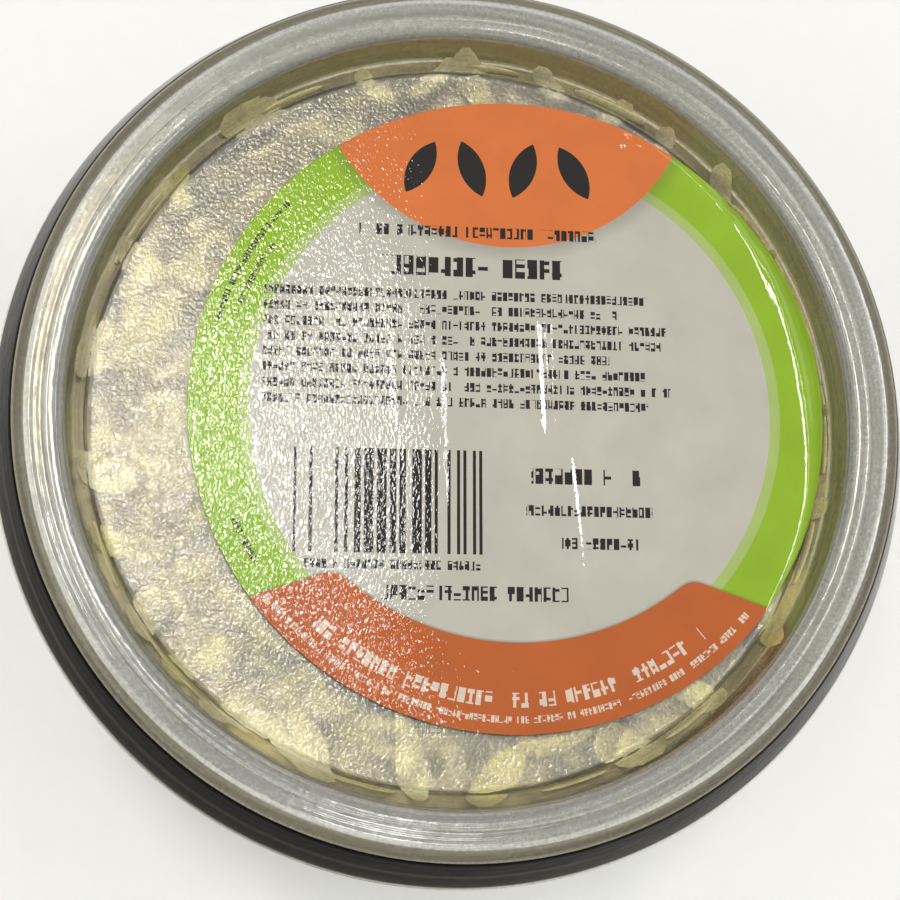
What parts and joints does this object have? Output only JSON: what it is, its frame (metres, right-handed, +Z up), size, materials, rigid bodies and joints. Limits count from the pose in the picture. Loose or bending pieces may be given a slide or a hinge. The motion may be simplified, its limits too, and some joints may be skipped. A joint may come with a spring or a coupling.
{
  "type": "tub of coleslaw",
  "caption": "Shut round clear plastic tub of shredded coleslaw, with a snap lid whose sunken panel carries a round label off its centre.",
  "frame": {"origin": "middle of the tub's foot ring, on its flat underside", "axes": "+Z up through the middle of the lid; +Y towards the top of the label and +X to its right"},
  "size_m": [0.1212, 0.1212, 0.062],
  "materials": {
    "clear_tub": "clear moulded polypropylene, glossy, faintly milky",
    "clear_lid": "clear moulded polypropylene, glossy rim and skirt, fine frosted grain on the sunken panel",
    "label_paper": "printed sticker under a glossy film, green ring, pale grey middle, orange top and bottom fields",
    "salad": "wet shredded white cabbage, carrot and onion in a pale creamy dressing"
  },
  "bodies": {
    "root": {"tub": "clear_tub", "lid": "clear_lid", "label": "label_paper", "coleslaw": "salad"}
  },
  "joints": []
}
